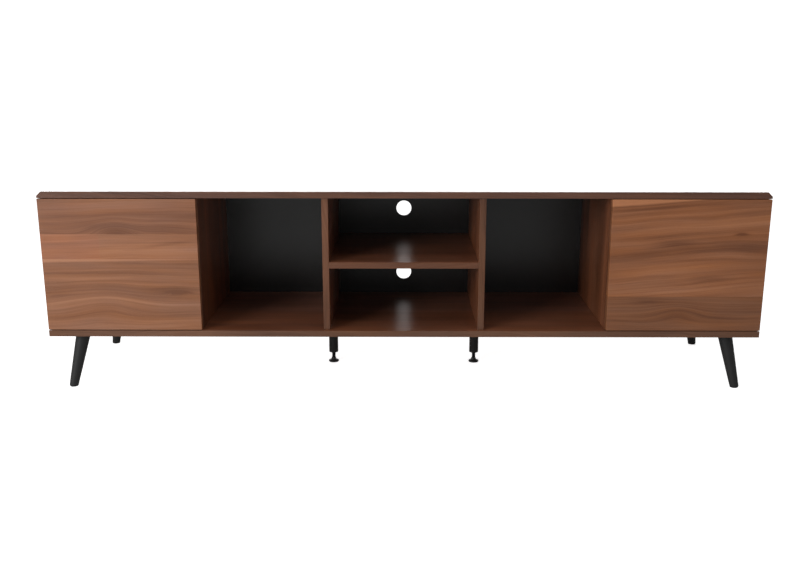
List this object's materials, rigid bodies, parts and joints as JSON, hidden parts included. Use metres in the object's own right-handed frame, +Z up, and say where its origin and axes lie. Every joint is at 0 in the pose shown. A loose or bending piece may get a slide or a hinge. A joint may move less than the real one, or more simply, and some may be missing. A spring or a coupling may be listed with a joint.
{
  "type": "tv stand",
  "caption": "Low walnut TV stand with a push-to-open door at each end, open bays and a shelf between them, splayed corner legs and adjustable centre feet.",
  "frame": {"origin": "on the floor, under the middle of the stand", "axes": "+X along the width to the stand's right seen from the front, +Y to the back, +Z up"},
  "size_m": [1.8, 0.4, 0.508],
  "materials": {
    "walnut_board": "satin walnut woodgrain over particle board",
    "door_walnut": "satin walnut woodgrain laid as planks",
    "black_board": "matt black faced hardboard",
    "black_paint": "satin black paint",
    "black_steel": "black powder coat",
    "nickel_steel": "nickel plated",
    "black_plastic": "matt",
    "grey_plastic": "matt"
  },
  "bodies": {
    "carcass": {"top_panel": "walnut_board", "bottom_panel": "walnut_board", "centre_shelf": "walnut_board", "left_side_panel": "walnut_board", "left_partition": "walnut_board", "left_divider": "walnut_board", "right_side_panel": "walnut_board", "right_partition": "walnut_board", "right_divider": "walnut_board", "left_back_panel": "black_board", "centre_back_panel": "black_board", "right_back_panel": "black_board", "left_push_latch_housing": "grey_plastic", "left_centre_foot_sleeve": "black_steel", "left_lower_hinge_arm": "nickel_steel", "left_lower_hinge_plate": "nickel_steel", "left_upper_hinge_arm": "nickel_steel", "left_upper_hinge_plate": "nickel_steel", "front_left_leg": "black_paint", "front_left_leg_bolt": "black_steel", "front_left_leg_plate": "black_steel", "rear_left_leg": "black_paint", "rear_left_leg_bolt": "black_steel", "rear_left_leg_plate": "black_steel", "right_push_latch_housing": "grey_plastic", "right_centre_foot_sleeve": "black_steel", "right_lower_hinge_arm": "nickel_steel", "right_lower_hinge_plate": "nickel_steel", "right_upper_hinge_arm": "nickel_steel", "right_upper_hinge_plate": "nickel_steel", "front_right_leg": "black_paint", "front_right_leg_bolt": "black_steel", "front_right_leg_plate": "black_steel", "rear_right_leg": "black_paint", "rear_right_leg_bolt": "black_steel", "rear_right_leg_plate": "black_steel"},
    "left_leaf": {"left_door": "door_walnut", "left_strike_plate": "nickel_steel", "left_lower_hinge_cup": "nickel_steel", "left_lower_hinge_pin": "nickel_steel", "left_upper_hinge_cup": "nickel_steel", "left_upper_hinge_pin": "nickel_steel"},
    "left_plunger": {"left_push_latch_plunger": "black_plastic"},
    "left_foot": {"left_centre_foot_screw_pad": "black_plastic"},
    "right_leaf": {"right_door": "door_walnut", "right_strike_plate": "nickel_steel", "right_lower_hinge_cup": "nickel_steel", "right_lower_hinge_pin": "nickel_steel", "right_upper_hinge_cup": "nickel_steel", "right_upper_hinge_pin": "nickel_steel"},
    "right_plunger": {"right_push_latch_plunger": "black_plastic"},
    "right_foot": {"right_centre_foot_screw_pad": "black_plastic"}
  },
  "joints": [
    {"name": "left_door_swing", "type": "hinge", "parent": "carcass", "child": "left_leaf", "pos_m": [-0.8925, -0.193, 0.323], "axis": [0, 0, -1], "range_deg": [0, 95]},
    {"name": "left_plunger_slide", "type": "slide", "parent": "carcass", "child": "left_plunger", "axis": [0, -1, 0], "range_m": [0, 0.012]},
    {"name": "left_foot_adjust", "type": "slide", "parent": "carcass", "child": "left_foot", "axis": [0, 0, 1], "range_m": [0, 0.012]},
    {"name": "right_door_swing", "type": "hinge", "parent": "carcass", "child": "right_leaf", "pos_m": [0.8925, -0.193, 0.323], "axis": [0, 0, 1], "range_deg": [0, 95]},
    {"name": "right_plunger_slide", "type": "slide", "parent": "carcass", "child": "right_plunger", "axis": [0, -1, 0], "range_m": [0, 0.012]},
    {"name": "right_foot_adjust", "type": "slide", "parent": "carcass", "child": "right_foot", "axis": [0, 0, 1], "range_m": [0, 0.012]}
  ],
  "couplings": [
    {"joint": "left_plunger_slide", "follows": "left_door_swing", "m_per_rad": 0.0072},
    {"joint": "right_plunger_slide", "follows": "right_door_swing", "m_per_rad": 0.0072}
  ]
}
